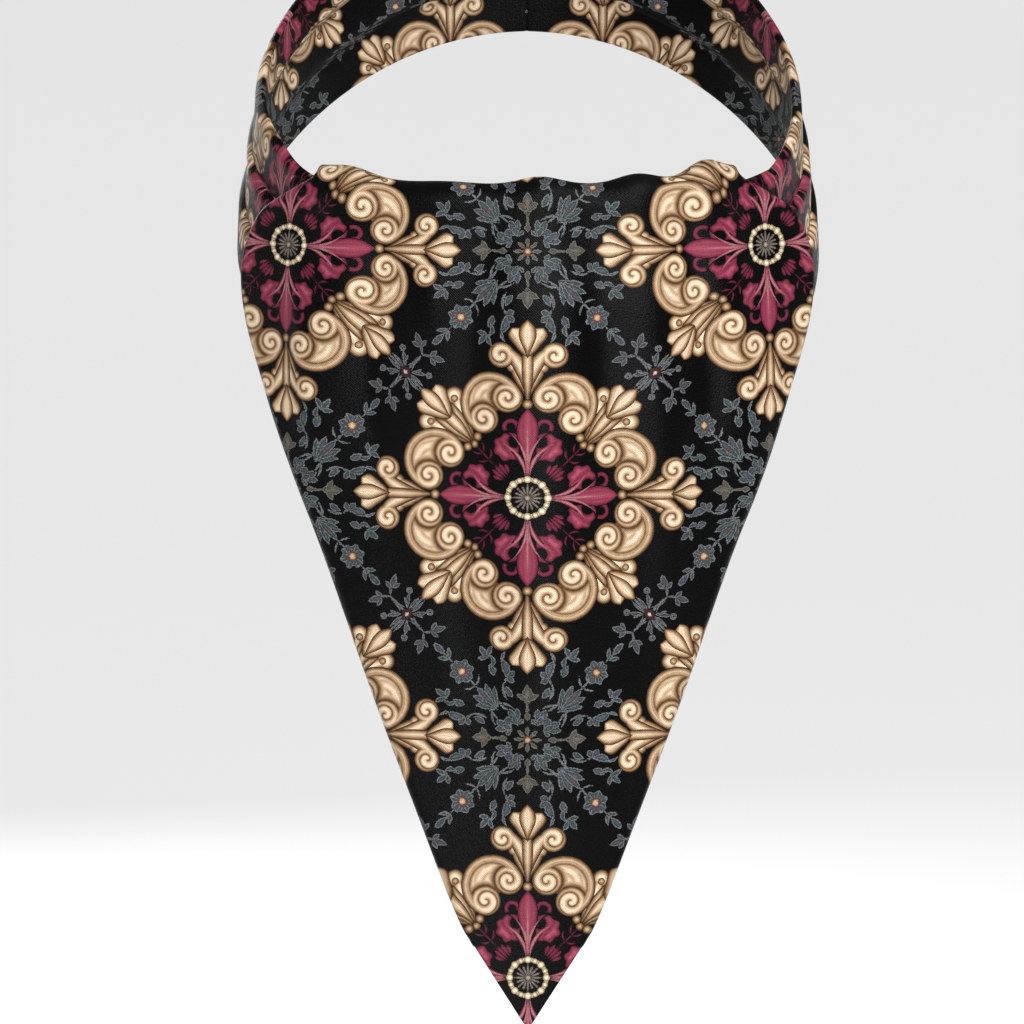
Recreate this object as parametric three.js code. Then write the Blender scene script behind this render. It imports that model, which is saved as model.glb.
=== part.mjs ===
// A silk day cravat as it is worn, hollow round the neck. A pleated band goes round the nape, its
// longer end crosses the throat, goes up behind the crossing and falls over it as one broad drape
// whose sides are turned under to a point. The shorter end hangs behind the drape.
// Millimetres, +Z up, the throat towards -Y. The origin is on the neck's axis, level with the band.
import * as THREE from 'three';

// Driving dimensions
const NECK_RADIUS = 65; // a neck of 408 mm
const NECK_RISE = 72; // the nape sits this much higher than the throat
const RISE_POWER = 1.65; // the edge is nearly level across the throat and climbs at the sides
const THROAT_TOP = -18; // height of the drape's top edge at the throat
const SILK = 1.4; // two layers of silk twill and a light interlining
const BAND_WALL = 2.2; // the band's stitched layers, without the pleats on their face
const SEAM_GAP = 0.3;

// The roll of the drape over the crossing, between the cloth against the neck and the cloth in front
const RISER_RADIUS = NECK_RADIUS + 1.1;
const ROLL_RADIUS = 6.45;
const ROLL_CENTRE = RISER_RADIUS + ROLL_RADIUS;
const ROLL_OFF = ROLL_CENTRE + ROLL_RADIUS - NECK_RADIUS; // stand-off where the roll turns down
const ROLL_QUARTER = (Math.PI / 2) * ROLL_RADIUS;
const RISER_DROP = 38; // how far the cloth behind the crossing reaches below the top edge
const TURN_RADIUS = 2.6; // bend of the turned-under sides, where they aren't pressed flat
const LEAST_TURN = 1.6; // every side edge is at least rolled this far

// Bands round the neck: angle from the throat, height, how far the top edge lies below the drape's,
// its stand-off from the neck, and how much further out the lower edge stands where the neck spreads
const LEFT_BAND = [
  { angle: -44, height: 42, below: 4, off: 4.2, flare: 0.4 },
  { angle: -54, height: 44, below: 3, off: 3.9, flare: 1.5 },
  { angle: -70, height: 46, below: 0, off: 2.8, flare: 4.5 },
  { angle: -90, height: 42, below: 0, off: 2.4, flare: 6.5 },
  { angle: -125, height: 39, below: 0, off: 2.2, flare: 4.5 },
  { angle: -180, height: 38, below: 0, off: 2.2, flare: 2.5 },
];
const RIGHT_BAND = [
  { angle: 180, height: 38, below: 0, off: 2.2, flare: 2.5 },
  { angle: 125, height: 39, below: 0, off: 2.2, flare: 4.5 },
  { angle: 90, height: 42, below: 0, off: 2.8, flare: 6.5 },
  { angle: 72, height: 46, below: 0.5, off: 5, flare: 4.5 },
  { angle: 56, height: 44, below: 3.5, off: 7.9, flare: 2 },
];
const CROSSING = [
  { angle: 56, height: 44, below: 3.5, off: 7.9, flare: 2 },
  { angle: 20, height: 43, below: 3.5, off: 7.9, flare: 0.4 },
  { angle: -20, height: 42, below: 3.5, off: 7.9, flare: 0.4 },
  { angle: -53, height: 40, below: 4, off: 7.9, flare: 0.8 },
];
const BAND_STEP = 5; // degrees between a band's sections
const BAND_PLEATS = { count: 3, depth: 1.2, fold: 0.14, stops: [0, 0.14, 0.42, 0.72] };
const EDGE_SHARE = 0.55; // the folded edges are this much of the wall

// The drape down its middle: drop below the top edge, stand-off from the neck, and how much larger
// than the neck the radius is that it is bowed to across the front
const DRAPE_LINE = [
  { drop: ROLL_RADIUS, off: ROLL_OFF, bow: ROLL_OFF },
  { drop: 10, off: 14.4, bow: 14.5 },
  { drop: 32, off: 21.5, bow: 20 },
  { drop: 71, off: 29.5, bow: 36 },
  { drop: 122, off: 35, bow: 43 },
  { drop: 204, off: 42, bow: 24 },
];
// Its outline from the front, the cloth turned under at each side and the radius that it turns by. A
// drop below zero is behind the crossing.
const DRAPE_OUTLINE = [
  { drop: -RISER_DROP, half: 42, turn: LEAST_TURN, bend: TURN_RADIUS },
  { drop: 0, half: 51, turn: LEAST_TURN, bend: TURN_RADIUS },
  { drop: ROLL_RADIUS, half: 58, turn: LEAST_TURN, bend: TURN_RADIUS },
  { drop: 15, half: 67, turn: LEAST_TURN, bend: TURN_RADIUS },
  { drop: 27, half: 71, turn: 2.5, bend: TURN_RADIUS },
  { drop: 50, half: 64, turn: 12, bend: TURN_RADIUS },
  { drop: 93, half: 47, turn: 31, bend: TURN_RADIUS },
  { drop: 122, half: 36.5, turn: 35, bend: 2.3 },
  { drop: 150, half: 26, turn: 25, bend: 1.7 },
  { drop: 184, half: 13, turn: 12, bend: SILK * 0.75 },
];
const DRAPE_SIDE_END = 184; // drop at which each side meets the pointed hem
const HEM_SLOPE = 1.55; // how steeply the hem climbs from its point
const HEM_START = 60; // above this drop the weft lies level
const LIFT_FADES = { from: 4, to: 62 }; // drops over which the cloth forgets the neck's slope

// Folds of the drape: place across at the top edge and where the fold dies out, the drop there, how
// far it lifts the top edge, how far it stands out below, and its breadth at the top and below
const DRAPE_FOLDS = [
  { at: -44, to: -54, end: 85, lift: 2.2, stand: 3.4, breadth: 7, below: 9 },
  { at: -20, to: -27, end: 80, lift: 0.6, stand: 1.8, breadth: 8, below: 10 },
  { at: 3, to: 6, end: 205, lift: 2, stand: 8, breadth: 7, below: 16 },
  { at: 27, to: 36, end: 120, lift: 2.2, stand: 4.4, breadth: 6.5, below: 9 },
  { at: 44, to: 56, end: 90, lift: 3.8, stand: 3.2, breadth: 5.5, below: 8 },
];
const FOLD_GROWS = 30; // drop at which a fold stands out in full
const FOLD_FADES = 0.45; // share of its length from which a fold sinks back
const FOLD_NARROWS = 0.5; // share of its breadth that a fold loses by its end

// The shorter end behind the drape
const TAIL_LINE = [
  { drop: 8, off: 3.7, bow: 3.7 },
  { drop: 50, off: 4.6, bow: 8 },
  { drop: 78, off: 15, bow: 30 },
  { drop: 105, off: 22.2, bow: 38 },
  { drop: 170, off: 28.5, bow: 30 },
];
const TAIL_OUTLINE = [
  { drop: 8, half: 35 },
  { drop: 50, half: 41 },
  { drop: 80, half: 49 },
  { drop: 105, half: 39 },
  { drop: 150, half: 21 },
];
const TAIL_SIDE_END = 150;
const TAIL_WAVES = { count: 5, height: 0.9, endDrop: 140 };

// How finely each piece is divided
const DRAPE_ROWS = { riser: 3, roll: 6, front: 25 };
const DRAPE_COLUMNS = { front: 36, turned: 6, crowd: 0.8 }; // the turned ones crowd into a full bend
const TAIL_ROWS = 18;
const TAIL_COLUMNS = 26;

const silk = new THREE.MeshStandardMaterial({ color: 0x100f13, roughness: 0.42, metalness: 0 });

const smooth = (x, from, to) => THREE.MathUtils.smoothstep(x, from, to);
const inRange = (x, low, high) => THREE.MathUtils.clamp(x, low, high);

// A smooth curve through one column of a table, flat where the column turns, so it never overshoots
function column(table, along, name) {
  const rows = [...table].sort((a, b) => a[along] - b[along]);
  const x = rows.map((row) => row[along]);
  const y = rows.map((row) => row[name]);
  const step = x.slice(1).map((value, i) => (y[i + 1] - y[i]) / (value - x[i]));
  const slope = y.map((_, i) => {
    if (i === 0) return step[0];
    if (i === y.length - 1) return step[i - 1];
    if (step[i - 1] * step[i] <= 0) return 0;
    return (2 * step[i - 1] * step[i]) / (step[i - 1] + step[i]);
  });
  return (at) => {
    const here = inRange(at, x[0], x[x.length - 1]);
    const i = Math.min(x.findLastIndex((value) => value <= here), x.length - 2);
    const width = x[i + 1] - x[i];
    const t = (here - x[i]) / width;
    const ease = t * t * (3 - 2 * t);
    const leave = t * (1 - t) * (1 - t) * width * slope[i];
    const arrive = t * t * (t - 1) * width * slope[i + 1];
    return y[i] * (1 - ease) + y[i + 1] * ease + leave + arrive;
  };
}

// A closed wall from a grid of points, thickened to both sides along the grid's own normals.
// Rows crossed with columns point to the outside of the cloth.
function clothWall(name, grid, outward, inward) {
  const rows = grid.length;
  const columns = grid[0].length;
  const at = (i, j) => grid[inRange(i, 0, rows - 1)][inRange(j, 0, columns - 1)];
  const points = [];
  for (const side of [outward, inward]) {
    for (let i = 0; i < rows; i++) {
      for (let j = 0; j < columns; j++) {
        const down = at(i + 1, j).clone().sub(at(i - 1, j));
        const across = at(i, j + 1).clone().sub(at(i, j - 1));
        const normal = down.cross(across).normalize();
        points.push(...at(i, j).clone().addScaledVector(normal, side(i, j)).toArray());
      }
    }
  }
  const outer = (i, j) => i * columns + j;
  const inner = (i, j) => rows * columns + outer(i, j);
  const faces = [];
  const quad = (a, b, c, d) => faces.push(a, b, c, a, c, d);
  for (let i = 0; i + 1 < rows; i++) {
    for (let j = 0; j + 1 < columns; j++) {
      quad(outer(i, j), outer(i + 1, j), outer(i + 1, j + 1), outer(i, j + 1));
      quad(inner(i, j), inner(i, j + 1), inner(i + 1, j + 1), inner(i + 1, j));
    }
    const last = columns - 1;
    quad(outer(i, 0), inner(i, 0), inner(i + 1, 0), outer(i + 1, 0));
    quad(outer(i, last), outer(i + 1, last), inner(i + 1, last), inner(i, last));
  }
  for (let j = 0; j + 1 < columns; j++) {
    const last = rows - 1;
    quad(outer(0, j), outer(0, j + 1), inner(0, j + 1), inner(0, j));
    quad(outer(last, j), inner(last, j), inner(last, j + 1), outer(last, j + 1));
  }
  const geometry = new THREE.BufferGeometry();
  geometry.setAttribute('position', new THREE.Float32BufferAttribute(points, 3));
  geometry.setIndex(faces);
  geometry.computeVertexNormals();
  const mesh = new THREE.Mesh(geometry, silk.clone());
  mesh.name = name;
  return mesh;
}

const neckLift = (turn) => NECK_RISE * ((1 - Math.cos(turn)) / 2) ** RISE_POWER;

// A pleated band round the neck. Its pleats are raised on the outside, and each end stops half a
// seam short.
function band(name, table) {
  const height = column(table, 'angle', 'height');
  const below = column(table, 'angle', 'below');
  const off = column(table, 'angle', 'off');
  const flare = column(table, 'angle', 'flare');
  const { count, depth, fold, stops } = BAND_PLEATS;
  const across = [];
  for (let pleat = 0; pleat < count; pleat++) {
    for (const stop of stops) {
      across.push({ share: (pleat + stop) / count, relief: stop < fold ? 0 : depth * (1 - stop) });
    }
  }
  across.push({ share: 1, relief: 0 });
  const halfSeam = THREE.MathUtils.radToDeg(SEAM_GAP / 2 / NECK_RADIUS);
  const from = table[0].angle - halfSeam;
  const to = table[table.length - 1].angle + halfSeam;
  const sections = Math.round((from - to) / BAND_STEP);
  const grid = [];
  for (let i = 0; i <= sections; i++) {
    const angle = from + ((to - from) * i) / sections;
    const turn = THREE.MathUtils.degToRad(angle);
    const top = THROAT_TOP + neckLift(turn) - below(angle);
    grid.push(across.map(({ share }) => {
      const out = NECK_RADIUS + off(angle) + flare(angle) * share;
      return new THREE.Vector3(
        out * Math.sin(turn),
        -out * Math.cos(turn),
        top - height(angle) * share,
      );
    }));
  }
  const edge = (j) => (j === 0 || j === across.length - 1 ? EDGE_SHARE : 1);
  const outward = (i, j) => edge(j) * (BAND_WALL / 2) + across[j].relief;
  const inward = (i, j) => -edge(j) * (BAND_WALL / 2);
  return clothWall(name, grid, outward, inward);
}

// The drape's face, at a place across and a way along from the top edge, where a negative way runs
// down behind the crossing
const drapeOff = column(DRAPE_LINE, 'drop', 'off');
const drapeBow = column(DRAPE_LINE, 'drop', 'bow');
const drapeHalf = column(DRAPE_OUTLINE, 'drop', 'half');
const drapeTurn = column(DRAPE_OUTLINE, 'drop', 'turn');
const drapeBend = column(DRAPE_OUTLINE, 'drop', 'bend');

const dropOf = (way) => {
  if (Math.abs(way) <= ROLL_QUARTER) return ROLL_RADIUS * (1 - Math.cos(way / ROLL_RADIUS));
  return ROLL_RADIUS + Math.abs(way) - ROLL_QUARTER;
};
const wayOf = (drop) => ROLL_QUARTER + drop - ROLL_RADIUS;

function foldHeight(fold, x, way) {
  const drop = dropOf(way);
  const share = way < 0 ? 0 : inRange(drop / fold.end, 0, 1);
  const middle = fold.at + (fold.to - fold.at) * share;
  const grown = way < 0 ? 0 : smooth(drop, 0, FOLD_GROWS);
  const spread = fold.breadth + (fold.below - fold.breadth) * grown;
  const breadth = spread * (1 - FOLD_NARROWS * share * share);
  const height = fold.lift + (fold.stand - fold.lift) * grown;
  const alive = smooth(way, -ROLL_QUARTER, 0) * (1 - smooth(share, FOLD_FADES, 1));
  return height * alive * Math.exp(-(((x - middle) / breadth) ** 2));
}

function drapeFace(x, way) {
  const drop = dropOf(way);
  const lean = inRange(way / ROLL_RADIUS, -Math.PI / 2, Math.PI / 2);
  const rolled = way <= ROLL_QUARTER;
  const forward = rolled ? ROLL_CENTRE + ROLL_RADIUS * Math.sin(lean) : NECK_RADIUS + drapeOff(drop);
  const bow = rolled ? forward : NECK_RADIUS + drapeBow(drop);
  const turn = Math.asin(inRange(x / bow, -1, 1));
  const lift = neckLift(turn) * (way < 0 ? 1 : 1 - smooth(drop, LIFT_FADES.from, LIFT_FADES.to));
  const fold = DRAPE_FOLDS.reduce((sum, each) => sum + foldHeight(each, x, way), 0);
  const out = fold * Math.sin(lean);
  return new THREE.Vector3(
    x + out * Math.sin(turn),
    -forward + bow * (1 - Math.cos(turn)) - out * Math.cos(turn),
    THROAT_TOP - drop + lift + fold * Math.cos(lean),
  );
}

// The same face with the side turned under: beyond the outline the cloth bends round the slanting
// edge and runs back behind itself, square to that edge
function drapeSide(side, way, half, slant, radius, turned) {
  const edge = new THREE.Vector2(1, -slant).normalize(); // outward from the outline, across and down
  const bend = Math.min(turned / radius, Math.PI);
  const back = Math.max(0, turned - Math.PI * radius);
  const place = new THREE.Vector2(half, way).addScaledVector(edge, -back);
  const step = SILK / 2;
  const nearby = (across, down) => drapeFace(side * (place.x + across), place.y + down);
  const face = nearby(0, 0);
  const across = nearby(step, 0).sub(nearby(-step, 0));
  const down = nearby(0, step).sub(nearby(0, -step));
  const normal = down.clone().cross(across).multiplyScalar(side).normalize();
  const outline = across.normalize().multiplyScalar(edge.x).addScaledVector(down.normalize(), edge.y);
  outline.addScaledVector(normal, -outline.dot(normal)).normalize();
  return face
    .addScaledVector(outline, radius * Math.sin(bend))
    .addScaledVector(normal, -radius * (1 - Math.cos(bend)));
}

function drape() {
  const ways = [];
  const { riser, roll, front } = DRAPE_ROWS;
  const riserStart = -wayOf(RISER_DROP);
  for (let i = 0; i < riser; i++) {
    ways.push(riserStart + ((-ROLL_QUARTER - riserStart) * i) / riser);
  }
  for (let i = 0; i < roll; i++) {
    ways.push(-ROLL_QUARTER + (2 * ROLL_QUARTER * i) / roll);
  }
  for (let i = 0; i <= front; i++) {
    ways.push(ROLL_QUARTER + ((wayOf(DRAPE_SIDE_END) - ROLL_QUARTER) * i) / front);
  }
  const grid = ways.map((way) => {
    const drop = way < 0 ? -dropOf(way) : dropOf(way);
    const half = drapeHalf(drop);
    const slant = drapeHalf(drop + 1) - drapeHalf(drop);
    const hem = HEM_SLOPE * smooth(drop, HEM_START, DRAPE_SIDE_END);
    const turn = drapeTurn(drop);
    const bend = drapeBend(drop);
    const row = [];
    const { front: across, turned, crowd } = DRAPE_COLUMNS;
    const power = 1 + crowd * smooth(turn, LEAST_TURN, Math.PI * bend);
    const side = (sign, j) => drapeSide(sign, way, half, slant, bend, turn * (j / turned) ** power);
    for (let j = turned; j > 0; j--) {
      row.push(side(-1, j));
    }
    for (let j = 0; j <= across; j++) {
      const x = half * ((2 * j) / across - 1);
      row.push(drapeFace(x, way + hem * (half - Math.abs(x))));
    }
    for (let j = 1; j <= turned; j++) {
      row.push(side(1, j));
    }
    return row;
  });
  return clothWall('front_drape', grid, () => SILK / 2, () => -SILK / 2);
}

// The shorter end, gathered in soft waves between the crossing and its point
function tail() {
  const off = column(TAIL_LINE, 'drop', 'off');
  const bow = column(TAIL_LINE, 'drop', 'bow');
  const half = column(TAIL_OUTLINE, 'drop', 'half');
  const first = TAIL_OUTLINE[0].drop;
  const grid = [];
  for (let i = 0; i <= TAIL_ROWS; i++) {
    const sideDrop = first + ((TAIL_SIDE_END - first) * i) / TAIL_ROWS;
    const hem = HEM_SLOPE * smooth(sideDrop, HEM_START, TAIL_SIDE_END);
    const row = [];
    for (let j = 0; j <= TAIL_COLUMNS; j++) {
      const share = (2 * j) / TAIL_COLUMNS - 1;
      const x = half(sideDrop) * share;
      const drop = sideDrop + hem * (half(sideDrop) - Math.abs(x));
      const radius = NECK_RADIUS + bow(drop);
      const turn = Math.asin(x / radius);
      const crest = 1 + Math.cos(Math.PI * TAIL_WAVES.count * share);
      const wave = TAIL_WAVES.height * crest * (1 - smooth(drop, HEM_START, TAIL_WAVES.endDrop));
      const lift = neckLift(turn) * (1 - smooth(drop, LIFT_FADES.from, LIFT_FADES.to));
      row.push(new THREE.Vector3(
        x + wave * Math.sin(turn),
        -NECK_RADIUS - off(drop) + radius * (1 - Math.cos(turn)) - wave * Math.cos(turn),
        THROAT_TOP - drop + lift,
      ));
    }
    grid.push(row);
  }
  return clothWall('under_tail', grid, () => SILK / 2, () => -SILK / 2);
}

const cravat = new THREE.Group();
cravat.add(
  band('neckband_left', LEFT_BAND),
  band('neckband_right', RIGHT_BAND),
  band('crossing', CROSSING),
  drape(),
  tail(),
);

export default cravat;
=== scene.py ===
import math

import bmesh
import bpy
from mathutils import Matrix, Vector


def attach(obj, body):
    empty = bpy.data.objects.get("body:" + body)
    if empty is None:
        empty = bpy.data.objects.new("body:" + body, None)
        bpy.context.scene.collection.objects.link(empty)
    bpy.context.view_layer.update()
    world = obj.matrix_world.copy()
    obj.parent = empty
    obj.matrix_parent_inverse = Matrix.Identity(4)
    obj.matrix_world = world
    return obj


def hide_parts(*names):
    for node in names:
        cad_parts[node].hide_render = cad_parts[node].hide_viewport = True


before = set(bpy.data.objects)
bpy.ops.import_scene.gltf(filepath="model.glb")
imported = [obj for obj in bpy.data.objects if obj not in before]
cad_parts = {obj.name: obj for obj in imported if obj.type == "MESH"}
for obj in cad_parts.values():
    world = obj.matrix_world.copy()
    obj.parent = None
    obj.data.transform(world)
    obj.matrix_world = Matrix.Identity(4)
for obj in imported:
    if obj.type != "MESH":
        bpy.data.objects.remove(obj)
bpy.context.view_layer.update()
mm = 0.001
print("frame loaded with", len(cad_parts), "solids")


# camera, floor and light
studio = {
    "aim": (-3.9, -88, -96.9),       # mm, the middle of the picture
    "distance": 1550,
    "elevation": 6,                  # degrees above level
    "pictureWidth": 250.9,           # mm of cloth across the picture, at the aim
    "filmWidth": 36,
    "sees": (0.01, 200),             # m, from the nearest to the farthest
    "floorLevel": -420,
    "floorWidth": 80,                # m
    "floorTone": (0.93, 0.93, 0.93, 1),
    "floorRoughness": 0.9,
    "roomLight": 0.11,
    "lampAim": (0, -0.08, -0.08),    # m
}
# lamps by name, kind, place in m, power, and size in m or a sun's angle in degrees
lamps = [
    ("highSun", "SUN", (0.5, -0.9, 2.0), 2.7, 35),
    ("frontPanel", "AREA", (0.2, -1.25, 0.34), 8.5, 0.3),
    ("leftPanel", "AREA", (-1.1, -0.8, 0.25), 1.2, 0.8),
    ("rearPanel", "AREA", (-0.4, 1.3, 0.3), 5, 0.6),
]


def buildStudio():
    scene = bpy.context.scene
    tilt = math.radians(studio["elevation"])
    back = Vector((0, -math.cos(tilt), math.sin(tilt)))
    lens = bpy.data.cameras.new("camera")
    lens.sensor_width = studio["filmWidth"]
    lens.lens = studio["filmWidth"] * studio["distance"] / studio["pictureWidth"]
    lens.clip_start, lens.clip_end = studio["sees"]
    camera = bpy.data.objects.new("camera", lens)
    camera.location = (Vector(studio["aim"]) + back * studio["distance"]) * mm
    camera.rotation_euler = (-back).to_track_quat("-Z", "Y").to_euler()
    scene.collection.objects.link(camera)
    scene.camera = camera

    mesh = bpy.data.meshes.new("floor")
    bm = bmesh.new()
    bmesh.ops.create_grid(bm, x_segments=1, y_segments=1, size=studio["floorWidth"] / 2)
    bmesh.ops.translate(bm, vec=(0, 0, studio["floorLevel"] * mm), verts=bm.verts)
    bm.to_mesh(mesh)
    bm.free()
    floor = bpy.data.objects.new("floor", mesh)
    scene.collection.objects.link(floor)
    paper = bpy.data.materials.new("palePaper")
    paper.use_nodes = True
    shader = paper.node_tree.nodes["Principled BSDF"]
    shader.inputs["Base Color"].default_value = studio["floorTone"]
    shader.inputs["Roughness"].default_value = studio["floorRoughness"]
    mesh.materials.append(paper)

    world = bpy.data.worlds.new("softRoom")
    world.use_nodes = True
    room = world.node_tree.nodes["Background"]
    room.inputs["Color"].default_value = (1, 1, 1, 1)
    room.inputs["Strength"].default_value = studio["roomLight"]
    scene.world = world
    scene.view_settings.view_transform = "Standard"

    for name, kind, place, power, size in lamps:
        light = bpy.data.lights.new(name, kind)
        light.energy = power
        if kind == "SUN":
            light.angle = math.radians(size)
        else:
            light.size = size
        holder = bpy.data.objects.new(name, light)
        holder.location = place
        aim = Vector(studio["lampAim"]) - Vector(place)
        holder.rotation_euler = aim.to_track_quat("-Z", "Y").to_euler()
        scene.collection.objects.link(holder)
    print("studio ready")


buildStudio()


# curves that every piece shares
neck = {
    "radius": 65,                    # mm, a neck of 408 mm
    "rise": 72,                      # the nape sits this much higher than the throat
    "risePower": 1.65,
    "throatTop": -18,                # height of the drape's top edge
}


def clamp(value, low, high):
    return min(max(value, low), high)


def smooth(value, start, end):
    t = clamp((value - start) / (end - start), 0, 1)
    return t * t * (3 - 2 * t)


def column(table, name):
    # a curve through one column of a table, over its first column, that never overshoots
    place = table["columns"].index(name)
    rows = sorted(table["rows"])
    x = [row[0] for row in rows]
    y = [row[place] for row in rows]
    step = [(y[i + 1] - y[i]) / (x[i + 1] - x[i]) for i in range(len(x) - 1)]
    slope = [step[0]]
    for before, after in zip(step, step[1:]):
        slope.append(0 if before * after <= 0 else 2 * before * after / (before + after))
    slope.append(step[-1])

    def at(here):
        here = clamp(here, x[0], x[-1])
        i = max(k for k in range(len(x) - 1) if x[k] <= here)
        width = x[i + 1] - x[i]
        t = (here - x[i]) / width
        ease = t * t * (3 - 2 * t)
        leave = t * (1 - t) ** 2 * width * slope[i]
        arrive = t * t * (t - 1) * width * slope[i + 1]
        return y[i] * (1 - ease) + y[i + 1] * ease + leave + arrive

    return at


def neckLift(turn):
    return neck["rise"] * ((1 - math.cos(turn)) / 2) ** neck["risePower"]


creaseFade = 1.4                     # higher values shorten every crease


def creaseHeight(table, x, drop):
    # soft ridges and troughs, each along its own line, dying out at both ends
    total = 0
    for fromX, fromDrop, toX, toDrop, breadth, height in table["rows"]:
        runX = toX - fromX
        runDrop = toDrop - fromDrop
        length = math.hypot(runX, runDrop)
        along = ((x - fromX) * runX + (drop - fromDrop) * runDrop) / length
        if not 0 < along < length:
            continue
        off = ((x - fromX) * runDrop - (drop - fromDrop) * runX) / length
        share = along / length
        total += height * math.sin(math.pi * share) ** creaseFade * math.exp(-((off / breadth) ** 2))
    return total


# a sheet of silk: a grid laid on a form, then given its thickness
def clothSheet(name, node, rows, columns, place, flatPlace, wall):
    mesh = bpy.data.meshes.new(name)
    bm = bmesh.new()
    bmesh.ops.create_grid(bm, x_segments=columns, y_segments=rows, size=0.5)
    uv = bm.loops.layers.uv.new("silkPrint")
    for vert in bm.verts:
        i = round((0.5 - vert.co.y) * rows)
        j = round((vert.co.x + 0.5) * columns)
        vert.co = place(i, j) * mm
        for loop in vert.link_loops:
            loop[uv].uv = flatPlace(i, j)
    for face in bm.faces:
        face.smooth = True
    area = sum(face.calc_area() for face in bm.faces)
    bm.normal_update()
    bm.to_mesh(mesh)
    bm.free()
    piece = bpy.data.objects.new(name, mesh)
    bpy.context.scene.collection.objects.link(piece)
    layers = piece.modifiers.new("layers", "SOLIDIFY")
    layers.thickness = wall * mm
    layers.offset = 0
    layers.use_even_offset = False
    soften = piece.modifiers.new("soften", "SUBSURF")
    soften.levels = 1
    soften.render_levels = 1
    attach(piece, "root")
    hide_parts(node)
    print(name, "laid,", round(area * 1e4, 1), "square cm of cloth")
    return piece


# the pleated bands
bandForm = {
    "wall": 1.7,
    "step": 2,                       # degrees between sections
    "pleats": 3,
    "pleatDepth": 1.6,
    "pleatRise": 0.13,               # share of a pleat over which it rises
    "bodyLift": 0.25,                # mm, the cloth between the edges sits this much higher
    "pleatStops": (0, 0.04, 0.08, 0.13, 0.2, 0.32, 0.48, 0.66, 0.84, 0.95),
    "seam": -1.2,                    # mm, the sewn edges press into each other
    "printStart": 15.4,              # mm, so that the print runs on from the drape
    "printRise": 69.8,
    "pleatShift": 9,                 # mm of print hidden in each pleat
}
leftBand = {
    "columns": ("angle", "height", "below", "off", "flare"),
    "rows": [
        (-44, 42, 4, 4.2, 0.4),
        (-54, 44, 3, 3.9, 1.5),
        (-70, 46, 0, 2.8, 4.5),
        (-90, 42, 0, 2.4, 6.5),
        (-125, 39, 0, 2.2, 4.5),
        (-180, 38, 0, 2.2, 2.5),
    ],
    "ends": (-44, -180),
}
rightBand = {
    "columns": ("angle", "height", "below", "off", "flare"),
    "rows": [
        (180, 38, 0, 2.2, 2.5),
        (125, 39, 0, 2.2, 4.5),
        (90, 42, 0, 2.8, 6.5),
        (72, 46, 0.5, 5, 4.5),
        (56, 44, 3.5, 7.9, 2),
    ],
    "ends": (180, 56),
}
crossing = {
    "columns": ("angle", "height", "below", "off", "flare"),
    "rows": [
        (56, 44, 3.5, 7.9, 2),
        (20, 43, 3.5, 7.9, 0.4),
        (-20, 42, 3.5, 7.9, 0.4),
        (-53, 40, 4, 7.9, 0.8),
    ],
    "ends": (56, -53),
}
# creases in degrees along the band and mm below its upper edge, as ridges and troughs in mm
bandCreases = {
    "columns": ("fromAngle", "fromDrop", "toAngle", "toDrop", "breadth", "height"),
    "rows": [
        (-150, 8, -118, 20, 2.6, 0.35),
        (-112, 30, -84, 16, 2.4, -0.4),
        (-98, 8, -66, 22, 3, 0.45),
        (-74, 34, -52, 24, 2.2, -0.35),
        (-172, 30, -140, 34, 2, -0.3),
        (64, 12, 96, 26, 2.8, 0.45),
        (82, 34, 116, 22, 2.4, -0.4),
        (108, 10, 142, 18, 2.6, 0.35),
        (132, 32, 168, 26, 2.2, -0.35),
    ],
}


def buildBand(name, node, table):
    height, below, off, flare = [column(table, each) for each in table["columns"][1:]]
    shares = []
    for pleat in range(bandForm["pleats"]):
        for stop in bandForm["pleatStops"]:
            rise = smooth(stop, 0, bandForm["pleatRise"]) * (1 - stop)
            shares.append(((pleat + stop) / bandForm["pleats"], rise * bandForm["pleatDepth"], pleat))
    shares.append((1, 0, bandForm["pleats"] - 1))
    first, last = table["ends"]
    halfSeam = math.degrees(bandForm["seam"] / 2 / neck["radius"])
    first -= halfSeam
    last += halfSeam
    rows = round((first - last) / bandForm["step"])

    def place(i, j):
        angle = first + (last - first) * i / rows
        turn = math.radians(angle)
        share, relief = shares[j][:2]
        creased = relief + creaseHeight(bandCreases, angle, share * height(angle))
        out = neck["radius"] + off(angle) + flare(angle) * share + creased
        top = neck["throatTop"] + neckLift(turn) - below(angle)
        lift = bandForm["bodyLift"] if 0 < j < len(shares) - 1 else 0
        return Vector((out * math.sin(turn), -out * math.cos(turn), top - height(angle) * share + lift))

    def flatPlace(i, j):
        angle = first + (last - first) * i / rows
        share, _, pleat = shares[j]
        along = (neck["radius"] + off(angle)) * math.radians(abs(angle)) - bandForm["printStart"]
        level = neckLift(math.radians(angle)) - below(angle) - height(angle) * share
        return (math.copysign(along, angle), bandForm["printRise"] + level - pleat * bandForm["pleatShift"])

    return clothSheet(name, node, rows, len(shares) - 1, place, flatPlace, bandForm["wall"])


bandLeft = buildBand("silkBandLeft", "neckband_left", leftBand)
bandRight = buildBand("silkBandRight", "neckband_right", rightBand)
bandAcross = buildBand("silkCrossing", "crossing", crossing)


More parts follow.
